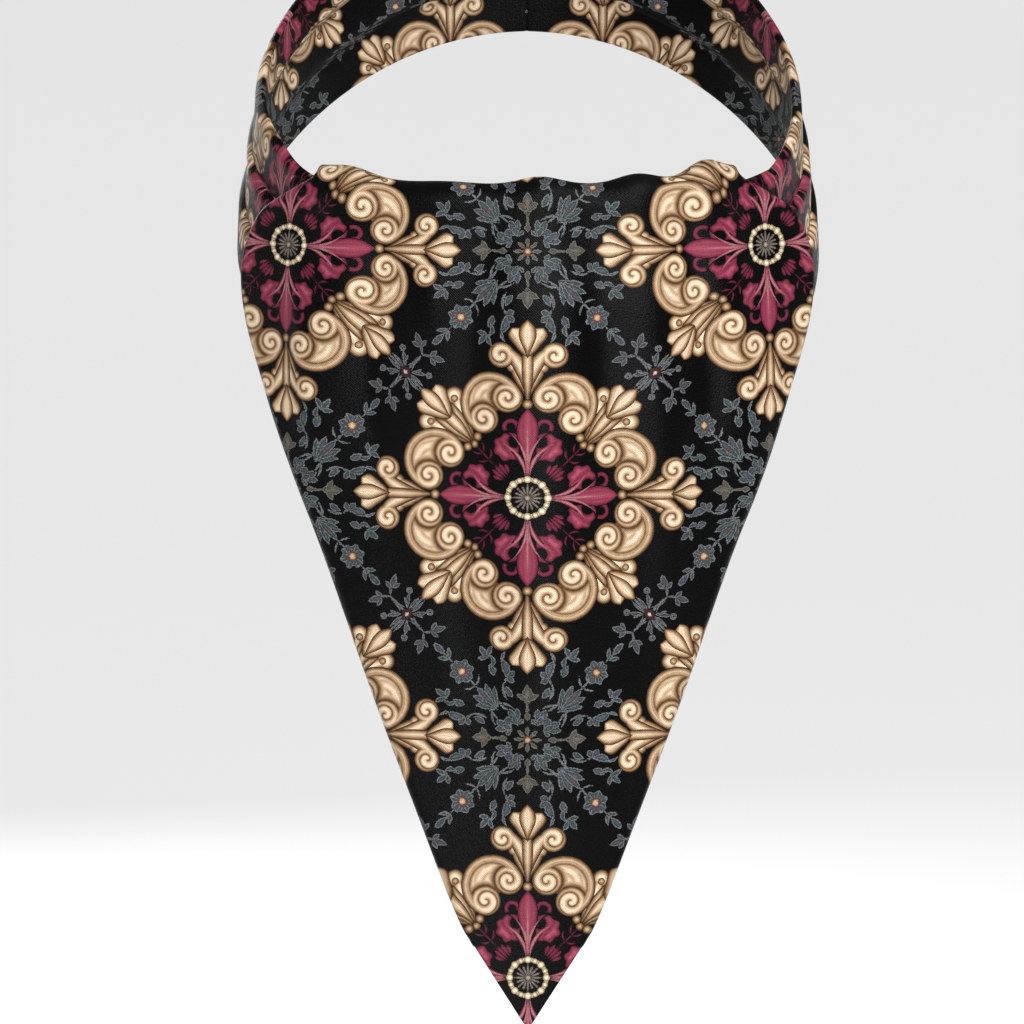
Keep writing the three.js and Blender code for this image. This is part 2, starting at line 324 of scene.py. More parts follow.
# the drape that falls over the crossing
drape = {
    "wall": 1.25,
    "riserOff": 1.1,                 # mm, cloth against the neck behind the crossing
    "rollRadius": 6.45,              # over the crossing
    "riserDrop": 38,
    "crowd": 0.8,                    # columns crowd into a full bend
    "leastTurn": 1.6,                # mm turned under at the upper corners
    "sideEnd": 184,                  # drop where each side meets the pointed hem
    "hemSlope": 1.55,
    "hemStart": 60,
    "liftFrom": 4,                   # drops over which the cloth forgets the neck's slope
    "liftTo": 62,
    "rows": {"riser": 8, "roll": 14, "front": 66},
    "acrossFront": 78,
    "acrossTurned": 13,
    "printDrop": 74,                 # drop at the middle of the first whole medallion
}
rollCentre = neck["radius"] + drape["riserOff"] + drape["rollRadius"]
rollQuarter = math.pi / 2 * drape["rollRadius"]
rollOff = drape["riserOff"] + 2 * drape["rollRadius"]
drapeLine = {
    "columns": ("drop", "off", "bow"),
    "rows": [
        (6.45, rollOff, rollOff),
        (10, 14.4, 14.5),
        (32, 21.5, 20),
        (71, 29.5, 36),
        (122, 35, 43),
        (204, 42, 24),
    ],
}
drapeOutline = {
    "columns": ("drop", "half", "turn", "bend"),   # bend is the radius of the turned-under side
    "rows": [
        (-38, 42, 1.6, 2.6),
        (0, 51, 1.6, 2.6),
        (6.45, 58, 1.6, 2.6),
        (15, 67, 1.6, 2.6),
        (27, 71, 2.5, 2.6),
        (50, 64, 12, 2.6),
        (93, 47, 31, 2.6),
        (122, 36.5, 35, 2.3),
        (150, 26, 25, 1.7),
        (174, 17, 15.5, 1.1),
        (184, 13, 12, 0.4),
    ],
}
# broad folds: place across at the top edge and at the end, the drop there, how far each lifts the
# top edge, how far it stands out below, and its breadth at the top and below
drapeFolds = [
    {"at": -44, "to": -54, "end": 85, "lift": 2.2, "stand": 3.4, "breadth": 7, "below": 9},
    {"at": -20, "to": -27, "end": 80, "lift": 0.6, "stand": 1.8, "breadth": 8, "below": 10},
    {"at": 3, "to": 6, "end": 205, "lift": 2, "stand": 8, "breadth": 7, "below": 16},
    {"at": 27, "to": 36, "end": 120, "lift": 2.2, "stand": 4.4, "breadth": 6.5, "below": 9},
    {"at": 44, "to": 56, "end": 90, "lift": 3.8, "stand": 3.2, "breadth": 5.5, "below": 8},
]
# mm of drop over which a fold comes out, share of its length where it starts to fade, and how much
# narrower it ends
foldForm = {"grows": 30, "fades": 0.45, "narrows": 0.5}
# smaller creases, in mm across and below the top edge
drapeCreases = {
    "columns": ("fromX", "fromDrop", "toX", "toDrop", "breadth", "height"),
    "rows": [
        (-58, 9, -52, 66, 3.4, 1.1),
        (-34, 7, -40, 52, 3.2, -1),
        (-11, 8, -15, 78, 4.2, -1.1),
        (15, 8, 20, 96, 4.2, -1.2),
        (37, 8, 47, 60, 3.2, -1.1),
        (61, 16, 57, 74, 3.6, 0.9),
        (-30, 64, -13, 150, 5, 0.9),
        (26, 92, 12, 170, 4.5, 0.8),
        (-22, 12, -24, 40, 2.4, 0.7),
        (-5, 7, -3, 30, 2.2, 0.6),
        (33, 9, 36, 34, 2, 0.6),
        (-42, 30, -33, 92, 2.8, -0.7),
        (46, 34, 38, 100, 3, -0.7),
    ],
}

drapeOff = column(drapeLine, "off")
drapeBow = column(drapeLine, "bow")
drapeHalf = column(drapeOutline, "half")
drapeTurn = column(drapeOutline, "turn")
drapeBend = column(drapeOutline, "bend")


def dropOf(way):
    if abs(way) <= rollQuarter:
        return drape["rollRadius"] * (1 - math.cos(way / drape["rollRadius"]))
    return drape["rollRadius"] + abs(way) - rollQuarter


def wayOf(drop):
    return rollQuarter + drop - drape["rollRadius"]


def foldHeight(fold, x, way):
    drop = dropOf(way)
    share = 0 if way < 0 else clamp(drop / fold["end"], 0, 1)
    middle = fold["at"] + (fold["to"] - fold["at"]) * share
    grown = 0 if way < 0 else smooth(drop, 0, foldForm["grows"])
    spread = fold["breadth"] + (fold["below"] - fold["breadth"]) * grown
    breadth = spread * (1 - foldForm["narrows"] * share * share)
    height = fold["lift"] + (fold["stand"] - fold["lift"]) * grown
    alive = smooth(way, -rollQuarter, 0) * (1 - smooth(share, foldForm["fades"], 1))
    return height * alive * math.exp(-(((x - middle) / breadth) ** 2))


def drapeReach(way):
    # distance in front of the neck's axis, and the radius that the cloth is bowed to
    if way <= rollQuarter:
        lean = clamp(way / drape["rollRadius"], -math.pi / 2, math.pi / 2)
        forward = rollCentre + drape["rollRadius"] * math.sin(lean)
        return forward, forward
    drop = dropOf(way)
    return neck["radius"] + drapeOff(drop), neck["radius"] + drapeBow(drop)


def drapeLift(x, way):
    # how far the neck's slope raises the cloth
    bow = drapeReach(way)[1]
    lift = neckLift(math.asin(clamp(x / bow, -1, 1)))
    if way < 0:
        return lift
    return lift * (1 - smooth(dropOf(way), drape["liftFrom"], drape["liftTo"]))


def drapeFace(x, way):
    drop = dropOf(way)
    lean = clamp(way / drape["rollRadius"], -math.pi / 2, math.pi / 2)
    forward, bow = drapeReach(way)
    turn = math.asin(clamp(x / bow, -1, 1))
    fold = sum(foldHeight(each, x, way) for each in drapeFolds)
    if way > 0:
        fold += creaseHeight(drapeCreases, x, drop)
    out = fold * math.sin(lean)
    return Vector((
        x + out * math.sin(turn),
        -forward + bow * (1 - math.cos(turn)) - out * math.cos(turn),
        neck["throatTop"] - drop + drapeLift(x, way) + fold * math.cos(lean),
    ))


def drapeSide(side, way, half, slant, radius, turned):
    # beyond the outline the cloth bends round the slanting edge and runs back behind itself
    edge = Vector((1, -slant)).normalized()
    bend = min(turned / radius, math.pi)
    spot = Vector((half, way)) - edge * max(0, turned - math.pi * radius)

    def nearby(across, down):
        return drapeFace(side * (spot.x + across), spot.y + down)

    step = 0.7
    across = nearby(step, 0) - nearby(-step, 0)
    down = nearby(0, step) - nearby(0, -step)
    normal = (down.cross(across) * side).normalized()
    outline = across.normalized() * edge.x + down.normalized() * edge.y
    outline = (outline - normal * outline.dot(normal)).normalized()
    return nearby(0, 0) + outline * radius * math.sin(bend) - normal * radius * (1 - math.cos(bend))


def buildDrape():
    counts = drape["rows"]
    riserStart = -wayOf(drape["riserDrop"])
    frontEnd = wayOf(drape["sideEnd"])
    ways = [riserStart + (-rollQuarter - riserStart) * i / counts["riser"] for i in range(counts["riser"])]
    ways += [-rollQuarter + 2 * rollQuarter * i / counts["roll"] for i in range(counts["roll"])]
    ways += [rollQuarter + (frontEnd - rollQuarter) * i / counts["front"] for i in range(counts["front"] + 1)]
    front = drape["acrossFront"]
    turned = drape["acrossTurned"]

    def rowAt(i):
        way = ways[i]
        drop = math.copysign(dropOf(way), way)
        half = drapeHalf(drop)
        slant = drapeHalf(drop + 1) - half
        hem = drape["hemSlope"] * smooth(drop, drape["hemStart"], drape["sideEnd"])
        return way, half, slant, hem, drapeTurn(drop), drapeBend(drop)

    def turnedBy(turn, bend, steps):
        power = 1 + drape["crowd"] * smooth(turn, drape["leastTurn"], math.pi * bend)
        return turn * (max(steps, 0) / turned) ** power

    def place(i, j):
        way, half, slant, hem, turn, bend = rowAt(i)
        if j < turned:
            return drapeSide(-1, way, half, slant, bend, turnedBy(turn, bend, turned - j))
        if j > turned + front:
            return drapeSide(1, way, half, slant, bend, turnedBy(turn, bend, j - turned - front))
        x = half * (2 * (j - turned) / front - 1)
        return drapeFace(x, way + hem * (half - abs(x)))

    def flatPlace(i, j):
        way, half, slant, hem, turn, bend = rowAt(i)
        start = rollQuarter - drape["rollRadius"] + drape["printDrop"]
        x = half * clamp(2 * (j - turned) / front - 1, -1, 1)
        spare = turnedBy(turn, bend, max(turned - j, j - turned - front))
        edge = Vector((1, -slant)).normalized()
        down = way + hem * (half - abs(x))
        level = start - down + drapeLift(x, down)          # the print hangs level on the front
        return (x + math.copysign(spare * edge.x, x), level - spare * edge.y)

    rows = len(ways) - 1
    return clothSheet("silkDrape", "front_drape", rows, front + 2 * turned, place, flatPlace, drape["wall"])


frontDrape = buildDrape()


# the shorter end behind the drape
tail = {
    "wall": 1.25,
    "rows": 48,
    "across": 52,
    "top": 8,                        # drop at its upper edge, inside the crossing
    "sideEnd": 150,
    "waves": 5,
    "waveHeight": 0.9,
    "waveEnd": 140,
    "printDrop": 98,                 # drop at the middle of its medallion
}
tailLine = {
    "columns": ("drop", "off", "bow"),
    "rows": [
        (8, 3.7, 3.7),
        (50, 4.6, 8),
        (78, 15, 30),
        (105, 22.2, 38),
        (170, 28.5, 30),
    ],
}
tailOutline = {
    "columns": ("drop", "half"),
    "rows": [(8, 35), (50, 41), (80, 49), (105, 39), (150, 21)],
}


def buildTail():
    off = column(tailLine, "off")
    bow = column(tailLine, "bow")
    half = column(tailOutline, "half")

    def spot(i, j):
        sideDrop = tail["top"] + (tail["sideEnd"] - tail["top"]) * i / tail["rows"]
        hem = drape["hemSlope"] * smooth(sideDrop, drape["hemStart"], tail["sideEnd"])
        share = 2 * j / tail["across"] - 1
        x = half(sideDrop) * share
        return share, x, sideDrop + hem * (half(sideDrop) - abs(x))

    def place(i, j):
        share, x, drop = spot(i, j)
        radius = neck["radius"] + bow(drop)
        turn = math.asin(x / radius)
        crest = 1 + math.cos(math.pi * tail["waves"] * share)
        wave = tail["waveHeight"] * crest * (1 - smooth(drop, drape["hemStart"], tail["waveEnd"]))
        lift = neckLift(turn) * (1 - smooth(drop, drape["liftFrom"], drape["liftTo"]))
        return Vector((
            x + wave * math.sin(turn),
            -neck["radius"] - off(drop) + radius * (1 - math.cos(turn)) - wave * math.cos(turn),
            neck["throatTop"] - drop + lift,
        ))

    def flatPlace(i, j):
        x, drop = spot(i, j)[1:]
        return (x, tail["printDrop"] - drop)

    return clothSheet("silkTail", "under_tail", tail["rows"], tail["across"], place, flatPlace, tail["wall"])


underTail = buildTail()


# shader values that can be added and multiplied
class Shade:
    tree = None                      # the node tree that is being written

    def __init__(self, socket):
        self.socket = socket

    @classmethod
    def node(cls, kind, settings=None, inputs=None, output=0):
        made = cls.tree.nodes.new("ShaderNode" + kind)
        for name, value in (settings or {}).items():
            if name == "stops":
                ramp = made.color_ramp
                while len(ramp.elements) < len(value):
                    ramp.elements.new(1)
                for element, (position, colour) in zip(ramp.elements, value):
                    element.position = position
                    element.color = (*colour, 1)
            else:
                setattr(made, name, value)
        for name, value in (inputs or {}).items():
            if isinstance(value, Shade):
                cls.tree.links.new(value.socket, made.inputs[name])
            else:
                made.inputs[name].default_value = value
        return cls(made.outputs[output])

    @classmethod
    def math(cls, operation, *values):
        return cls.node("Math", {"operation": operation}, dict(enumerate(values)))

    def __add__(self, other):
        return self.math("ADD", self, other)

    __radd__ = __add__

    def __sub__(self, other):
        return self.math("SUBTRACT", self, other)

    def __rsub__(self, other):
        return self.math("SUBTRACT", other, self)

    def __mul__(self, other):
        return self.math("MULTIPLY", self, other)

    __rmul__ = __mul__

    def __truediv__(self, other):
        return self.math("DIVIDE", self, other)

    def __rtruediv__(self, other):
        return self.math("DIVIDE", other, self)

    def __neg__(self):
        return self.math("MULTIPLY", self, -1)

    def __abs__(self):
        return self.math("ABSOLUTE", self)

    def __gt__(self, other):
        return self.math("GREATER_THAN", self, other)

    def least(self, other):
        return self.math("MINIMUM", self, other)

    def most(self, other):
        return self.math("MAXIMUM", self, other)

    def times(self, factor, addend):
        return self.math("MULTIPLY_ADD", self, factor, addend)

    def pingPong(self, span):
        return self.math("PINGPONG", self, span)

    def fraction(self):
        return self.math("FRACT", self)

    def sine(self):
        return self.math("SINE", self)

    def turn(self, other):
        return self.math("ARCTAN2", self, other)

    def distance(self, other, centre):
        point = self.node("CombineXYZ", inputs={0: self, 1: other})
        return self.node("VectorMath", {"operation": "DISTANCE"}, {0: point, 1: (*centre, 0)}, "Value")

    def between(self, low, high):
        return self.node("MapRange", inputs={"Value": self, "From Min": low, "From Max": high})


# the print, in mm on the flat cloth
silkPrint = {
    "half": 58.6,                    # half the repeat
    "pearls": 4.45,                  # radius of the ring of pearls
    "flower": 22.4,                  # small flowers, from the middle of a spray
    "flowerRadius": 2.75,
    "petals": 7,
    "petalDepth": 0.32,
    "veinLevel": 0.92,               # depth of ink at a leaf's veins, and how far it swings
    "veinSwing": 0.24,
}
diagonal = math.sqrt(0.5)


def linear(x, a, y, b, k):
    return x.times(a, y.times(b, k))


def leaf(x, y, start, end, width, bow=0, skew=0, blunt=False, veins=0):
    # depth inside a leaf from start to end, positive inside
    dx = end[0] - start[0]
    dy = end[1] - start[1]
    length = math.hypot(dx, dy)
    c = dx / length
    s = dy / length
    t = linear(x, c / length, y, s / length, -(start[0] * c + start[1] * s) / length)
    n = linear(y, c, x, -s, start[0] * s - start[1] * c)
    u = t * t.times(-1, 1)
    if bow:
        n = u.times(-4 * bow, n)
    if blunt:
        u = u * u.times(-4, 2)
    if skew:
        # closes the outline beyond the thin end
        thin = t.times(-6, 0.05) if skew > 0 else t.times(6, -5.95)
        u = u * t.times(2 * skew, 1 - skew).most(thin)
    depth = u.times(4 * width, -abs(n))
    if veins:
        lines = (abs(n) / u * (veins / (4 * width))).sine()
        depth = depth.least(lines.times(silkPrint["veinSwing"], silkPrint["veinLevel"]))
    return depth


def disc(x, y, centre, radius):
    return radius - x.distance(y, centre)


def ring(x, y, centre, radius, width):
    return width - abs(x.distance(y, centre) - radius)


def hook(x, y, centre, radius, width, facing):
    # part of a ring, open on the side away from facing
    c = math.cos(math.radians(facing))
    s = math.sin(math.radians(facing))
    gate = linear(x, c, y, s, 0.35 * radius - centre[0] * c - centre[1] * s)
    return ring(x, y, centre, radius, width).least(gate)


def over(bottom, top, margin=0.3):
    pick = top > -margin
    return pick.times(top - bottom, bottom)


def leaves(x, y, rows, margin, under=None):
    # leaves laid on each other in the order of the rows
    for fromX, fromY, toX, toY, *form in rows:
        one = leaf(x, y, (fromX, fromY), (toX, toY), *form)
        under = one if under is None else over(under, one, margin)
    return under


def volute(x, y, centre, radius, pitch, hand, phase):
    # a spiral whose every turn is a ridge, higher on its outer side
    d = x.distance(y, centre)
    angle = (y - centre[1]).turn(x - centre[0])
    s = d.times(1 / pitch, angle.times(hand / (2 * math.pi), phase)).fraction()
    ridge = s * s.times(-1, 1) * s.times(1.2, 0.4)
    return ((radius - d) * 1.2).least(ridge * (2.15 * pitch))


def foldRepeat(x, y):
    # every point of the cloth is brought into one wedge of the repeat
    h = silkPrint["half"]
    x = x.pingPong(h)
    y = y.pingPong(h)
    past = (x + y) > h
    first = past.times(h - x - y, x)
    second = past.times(h - x - y, y)
    return first.most(second), first.least(second)


# leaves by their start, end, half width, bow to the side and fullness towards the end, in mm, then
# whether the end is blunt and how close the veins are
goldCorner = [
    (18.6, 0.9, 30.0, 5.2, 1.5, -0.7, 0.3),
    (18.6, 0.6, 28.4, 2.6, 0.9, -0.3, 0.3),
    (18.8, 0.0, 30.0, 0.0, 1.25, 0, 0.3, False, 9),
    (26.4, 0.2, 34.2, 3.3, 1.6, -0.4, 0.4, True, 9),
    (26.8, 0.0, 36.0, 0.0, 1.5, 0, 0.5, False, 8),
]
goldTop = [
    (24.6, 0.4, 31.6, 3.6, 1.1, -0.6, 0.3),
    (25.6, 0.4, 36.7, 5.9, 1.3, -1.5, 0.1),
    (22.6, 0.0, 38.0, 0.0, 1.05, 0, 0.3),
    (34.0, 0.2, 40.6, 3.4, 1.6, -0.5, 0.45, True, 9),
    (34.0, 0.0, 42.5, 0.0, 1.6, 0, 0.6, False, 8),
]
# the C-scroll: a grooved rim that runs into a volute at each end, with a veined hollow between
goldScroll = {
    "inner": (23.9, 4.6),            # middles of the two volutes
    "outer": (18.7, 10.2),
    "middle": (22.3, 8.4),           # of the rim
    "rim": 6.55,                     # radius
    "rimWidth": 0.95,
    "groove": 6.35,
    "hollow": 5.75,
    "cut": (0.733, 0.68, -20.0),     # the line that joins the volutes
}


def goldScrolls(x, y):
    g = linear(x, diagonal, y, diagonal, 0)
    q = linear(x, diagonal, y, -diagonal, 0)
    e = leaves(g, q, goldCorner[:1], 0.3).most(disc(g, q, (29.4, 4.5), 1.95))
    e = over(e, disc(g, q, (28.9, 4.0), 0.8), 0.1)
    e = leaves(g, q, goldCorner[1:], 0.25, e)
    e = over(e, disc(g, q, (17.6, 0.0), 0.8))
    e = over(e, disc(g, q, (18.3, 1.8), 0.9))
    k = leaves(x, y, goldTop[:1], 0.3).most(disc(x, y, (31.3, 3.2), 1.2))
    curl = volute(x, y, (34.1, 5.9), 2.9, 2.2, 1, 0.75)
    k = over(k, curl.most(leaves(x, y, goldTop[1:2], 0.3)))
    k = leaves(x, y, goldTop[2:], 0.25, k)
    e = over(e, k)
    inner = goldScroll["inner"]
    outer = goldScroll["outer"]
    middle = goldScroll["middle"]
    d = x.distance(y, middle)
    rim = goldScroll["rimWidth"] - abs(d - goldScroll["rim"])
    rim = rim.least(abs(d - goldScroll["groove"]).times(1.6, 0.4))
    hollow = (x.distance(y, inner) - 3.7).least(x.distance(y, outer) - 3.8) * 0.75
    lines = d.times(3.2, (y - middle[1]).turn(x - middle[0]) * 2).sine().times(0.3, 0.95)
    pocket = ((goldScroll["hollow"] - d) * 1.3).least(hollow).least(lines)
    across, up, past = goldScroll["cut"]
    body = rim.most(pocket).least(linear(x, across, y, up, past))
    body = body.most(volute(x, y, inner, 3.4, 2.1, -1, 0.23)).most(volute(x, y, outer, 3.5, 2.2, 1, 0))
    e = over(e, body)
    return over(e, disc(x, y, (22.4, 0.0), 0.95))


burgundyBud = [
    (6.9, 1.1, 9.2, 2.1, 0.5, 0, 0.3),
    (6.8, 0.6, 10.4, 1.1, 0.5, 0, 0.3),
    (6.6, 0.0, 10.9, 0.0, 0.45, 0, 0.3),
    (10.2, 0.0, 17.6, 0.0, 0.2, 0, 0),
    (12.6, 0.1, 14.2, 2.2, 0.26, 0.4, 0),
    (14.6, 0.1, 16.8, 1.7, 0.24, 0.3, 0),
]
burgundyRibs = [
    (5.3, 0.5, 12.8, 5.4, 0.3, -1.3, -0.2),
    (5.3, 0.3, 15.0, 3.4, 0.26, -1.2, -0.3),
    (5.3, 0.0, 19.0, 0.0, 0.26, 0, -0.4),
]


burgundySide = [
    (5.5, 0.3, 11.0, 3.6, 0.6, -0.8, 0.1),
    (12.4, 0.6, 15.6, 4.4, 0.5, -0.5, 0.1),
]
burgundySpear = [(5.4, 0.0, 21.4, 0.0, 2.0, 0, 1, False, 11)]
# the broad lobe, scalloped outside, arched over a hollow beside the leaf
burgundyLobe = {
    "middle": (12.0, 4.45),
    "radius": 3.2,
    "scallops": 7,
    "scallopDepth": 0.26,
    "hollow": (13.5, 2.8),
    "hollowRadius": 1.5,
    "floor": 1.9,                    # the lobe stays this far from the leaf's axis
    "root": (7.4, 1.6),              # where its frills spread from
    "frills": 15,
}


def burgundyLeaves(x, y):
    g = linear(x, diagonal, y, diagonal, 0)
    q = linear(x, diagonal, y, -diagonal, 0)
    e = leaves(g, q, burgundyBud, 0.1)
    e = over(e, hook(x, y, (16.9, 3.7), 1.5, 0.5, 15), 0.1)
    middleX, middleY = burgundyLobe["middle"]
    rootX, rootY = burgundyLobe["root"]
    frill = (y - rootY).turn(x - rootX).times(burgundyLobe["frills"], 1.2).sine()
    scallops = (y - middleY).turn(x - middleX).times(burgundyLobe["scallops"], 0.4).sine()
    lobe = scallops.times(burgundyLobe["scallopDepth"], burgundyLobe["radius"])
    lobe = lobe - x.distance(y, burgundyLobe["middle"])
    lobe = lobe.least(x.distance(y, burgundyLobe["hollow"]) - burgundyLobe["hollowRadius"])
    lobe = lobe.least(y - burgundyLobe["floor"])
    e = over(e, lobe.least(frill.times(0.55, 0.95)), 0.1)
    e = leaves(x, y, burgundySide, 0.1, e)
    return leaves(x, y, burgundySpear, 0.15, e)


def burgundyLights(x, y):
    return leaves(x, y, burgundyRibs, 0.05)


def pearlRing(x, y):
    r = silkPrint["pearls"]
    e = ring(x, y, (0, 0), r, 0.45)
    for degrees, radius in ((0, 0.78), (22.5, 0.56), (45, 0.78)):
        a = math.radians(degrees)
        e = over(e, disc(x, y, (r * math.cos(a), r * math.sin(a)), radius), 0.12)
    return e


def rosette(x, y):
    # thin spokes inside the pearls
    e = leaf(x, y, (0.4, 0.0), (3.6, 0.0), 0.28)
    for degrees, end in ((22.5, 3.1), (45, 3.5)):
        c = math.cos(math.radians(degrees))
        s = math.sin(math.radians(degrees))
        e = e.most(leaf(x, y, (0.5 * c, 0.5 * s), (end * c, end * s), 0.26))
        e = e.most(disc(x, y, ((end - 0.5) * c, (end - 0.5) * s), 0.3))
    return e.most(disc(x, y, (0, 0), 0.7))


# grey-blue sprays, from their own middle
sprayHeart = [
    (3.6, 1.9, 5.0, 0.9, 0.5, 0, 0.3),
    (4.0, 2.4, 7.6, 2.3, 0.8, 0, 0.3),
    (4.0, 2.7, 7.4, 4.2, 0.85, 0, 0.3),
    (3.7, 2.8, 5.2, 5.0, 0.7, 0, 0.3),
    (3.4, 2.2, 5.9, 3.4, 0.75, 0, 0.1),
]
spraySide = [
    (6.8, 4.2, 10.0, 7.6, 0.26, 0.3, 0),
    (7.4, 3.0, 8.2, 7.4, 0.24, -0.6, 0),
    (10.2, 3.3, 12.9, 4.9, 0.75, 0.2, -0.2),
    (13.9, 5.4, 9.6, 4.7, 0.3, -0.5, 0.3),
    (13.6, 5.2, 15.6, 4.4, 0.28, 0, 0),
    (14.9, 4.9, 14.0, 2.9, 0.72, 0, 0.3),
    (14.9, 4.7, 16.6, 2.9, 0.75, 0, 0.3),
    (15.0, 4.8, 19.4, 6.0, 0.95, -0.5, 0),
    (18.4, 5.7, 21.4, 5.0, 0.36, 0.4, 0),
    (15.2, 7.8, 18.0, 9.0, 0.85, -0.2, -0.2),
    (16.9, 8.7, 20.4, 9.0, 0.55, -0.9, 0),
    (19.4, 9.4, 22.2, 11.4, 0.7, 0, 0.2),
    (19.4, 9.2, 22.4, 8.2, 0.6, 0.3, 0.2),
    (19.6, 9.2, 19.2, 11.8, 0.6, 0, 0.2),
]
sprayFan = [
    (9.6, 0.0, 14.4, 3.4, 0.7, -0.3, 0.4),
    (9.8, 0.0, 16.4, 2.2, 0.85, -0.2, 0.45),
    (10.0, 0.0, 17.2, 0.0, 0.85, 0, 0.45),
    (16.6, 0.0, 19.8, 0.0, 0.24, 0, 0),
    (17.6, 0.0, 19.0, 2.6, 0.2, 0.3, 0),
    (25.4, 0.0, 31.2, 0.0, 0.26, 0, 0),
    (28.0, 0.0, 31.8, 0.2, 0.7, 0, 0.2),
    (26.6, 0.1, 28.8, 1.8, 0.5, 0, 0),
]


def greySprays(x, y):
    p = silkPrint["half"] - x
    g = linear(p, diagonal, y, diagonal, 0)
    q = linear(p, diagonal, y, -diagonal, 0)
    e = leaves(p, y, sprayHeart, 0.12)
    e = leaves(p, y, spraySide, 0.12, e)
    e = leaves(g, q, sprayFan, 0.12, e)
    # ruffled petals of the small flower
    middle = (silkPrint["flower"], 0)
    around = q.turn(g - middle[0])
    petals = around.times(silkPrint["petals"], 0).sine()
    petals = petals.times(silkPrint["petalDepth"], silkPrint["flowerRadius"]) - g.distance(q, middle)
    veins = around.times(2 * silkPrint["petals"], 0.8).sine().times(0.22, 0.4)
    return over(e, petals.least(veins), 0.12)


def brownBuds(x, y):
    # the spades on the axes and the petals of the small star
    p = silkPrint["half"] - x
    e = leaf(p, y, (0.7, 0.0), (3.2, 0.0), 0.45, skew=0.3)
    e = e.most(leaf(p, y, (0.5, 0.5), (2.2, 2.2), 0.45, skew=0.3))
    e = e.most(leaf(p, y, (4.8, 0.0), (9.2, 0.0), 0.3))
    e = e.most(leaf(p, y, (4.6, 0.0), (6.8, 0.0), 0.7))
    e = over(e, leaf(p, y, (8.4, 0.0), (13.4, 0.0), 1.25, skew=-0.1), 0.1)
    return over(e, leaf(p, y, (9.2, 0.1), (11.0, 2.5), 0.7, bow=-0.3, skew=0.1), 0.1)


def amberHearts(x, y):
    p = silkPrint["half"] - x
    g = linear(p, diagonal, y, diagonal, 0)
    q = linear(p, diagonal, y, -diagonal, 0)
    e = disc(p, y, (0, 0), 1.0)
    e = e.most(disc(g, q, (silkPrint["flower"], 0.0), 1.2))
    return e.most(disc(g, q, (14.2, 0.0), 0.45))


sprigArms = [
    (1.0, 0.4, 5.6, 0.7, 0.36, 0.2, -0.2),
    (0.6, 0.0, 8.8, 0.0, 0.24, 0, -0.5),
    (1.0, 0.9, 4.2, 3.2, 0.55, 0.2, -0.1),
    (1.8, 1.6, 2.4, 3.4, 0.36, 0, 0),
    (0.1, 1.0, 0.1, 6.4, 0.34, 0, -0.2),
    (0.9, 1.4, 0.2, 6.0, 0.26, 0.5, 0),
    (0.0, 5.8, 2.4, 7.4, 0.3, 0.3, 0),
    (1.5, 7.0, 4.9, 8.8, 0.8, 0, -0.1),
    (1.7, 7.0, 4.0, 6.4, 0.55, 0, 0.1),
    (1.5, 6.9, 1.8, 9.3, 0.55, 0, 0.1),
]


def greySprigs(x, y):
    m = linear(x, -diagonal, y, -diagonal, silkPrint["half"] * diagonal)
    k = linear(x, diagonal, y, -diagonal, 0)
    e = leaves(m, k, sprigArms, 0.1)
    return over(e, ring(m, k, (4.6, 3.6), 0.5, 0.3), 0.1)


def sprigHearts(x, y):
    m = linear(x, -diagonal, y, -diagonal, silkPrint["half"] * diagonal)
    k = linear(x, diagonal, y, -diagonal, 0)
    return 1.5 - abs(m) * 0.7 - abs(k)


# inks by depth in mm from the edge of a motif
inks = {
    "spray": [(-0.1, (0.055, 0.059, 0.064)), (0.06, (0.19, 0.2, 0.212)), (0.2, (0.105, 0.114, 0.125)),
              (0.34, (0.024, 0.028, 0.034)), (0.55, (0.045, 0.053, 0.064)), (0.85, (0.085, 0.097, 0.112))],
    "bud": [(-0.1, (0.07, 0.066, 0.062)), (0.08, (0.16, 0.148, 0.135)), (0.35, (0.05, 0.044, 0.04)),
            (1.0, (0.13, 0.108, 0.092))],
    "amber": [(-0.1, (0.06, 0.022, 0.018)), (0.35, (0.12, 0.05, 0.035)), (0.6, (0.42, 0.25, 0.15)),
              (1.1, (0.58, 0.42, 0.28))],
    "sprig": [(-0.1, (0.06, 0.062, 0.065)), (0.08, (0.17, 0.174, 0.178)), (0.32, (0.03, 0.032, 0.036)),
              (0.8, (0.07, 0.072, 0.078))],
    "sprigHeart": [(-0.1, (0.03, 0.02, 0.02)), (0.4, (0.03, 0.014, 0.016)), (1.0, (0.05, 0.018, 0.02)),
                   (1.1, (0.4, 0.28, 0.26)), (1.5, (0.6, 0.48, 0.45))],
    "burgundy": [(-0.1, (0.04, 0.004, 0.012)), (0.2, (0.115, 0.014, 0.033)), (0.6, (0.205, 0.029, 0.056)),
                 (1.1, (0.28, 0.047, 0.084)), (1.6, (0.37, 0.085, 0.13))],
    "burgundyLight": [(-0.1, (0.20, 0.05, 0.075)), (0.3, (0.42, 0.17, 0.18))],
    "spoke": [(-0.1, (0.03, 0.024, 0.022)), (0.12, (0.13, 0.11, 0.095)), (0.3, (0.22, 0.18, 0.15)),
              (0.7, (0.5, 0.38, 0.27))],
    "gold": [(-0.3, (0.025, 0.012, 0.005)), (0, (0.10, 0.05, 0.021)), (0.3, (0.26, 0.155, 0.08)),
             (0.7, (0.49, 0.34, 0.21)), (1.05, (0.68, 0.52, 0.36)), (1.6, (0.87, 0.74, 0.58))],
    "pearl": [(-0.2, (0.06, 0.04, 0.022)), (0.1, (0.40, 0.30, 0.18)), (0.6, (0.88, 0.79, 0.62))],
}
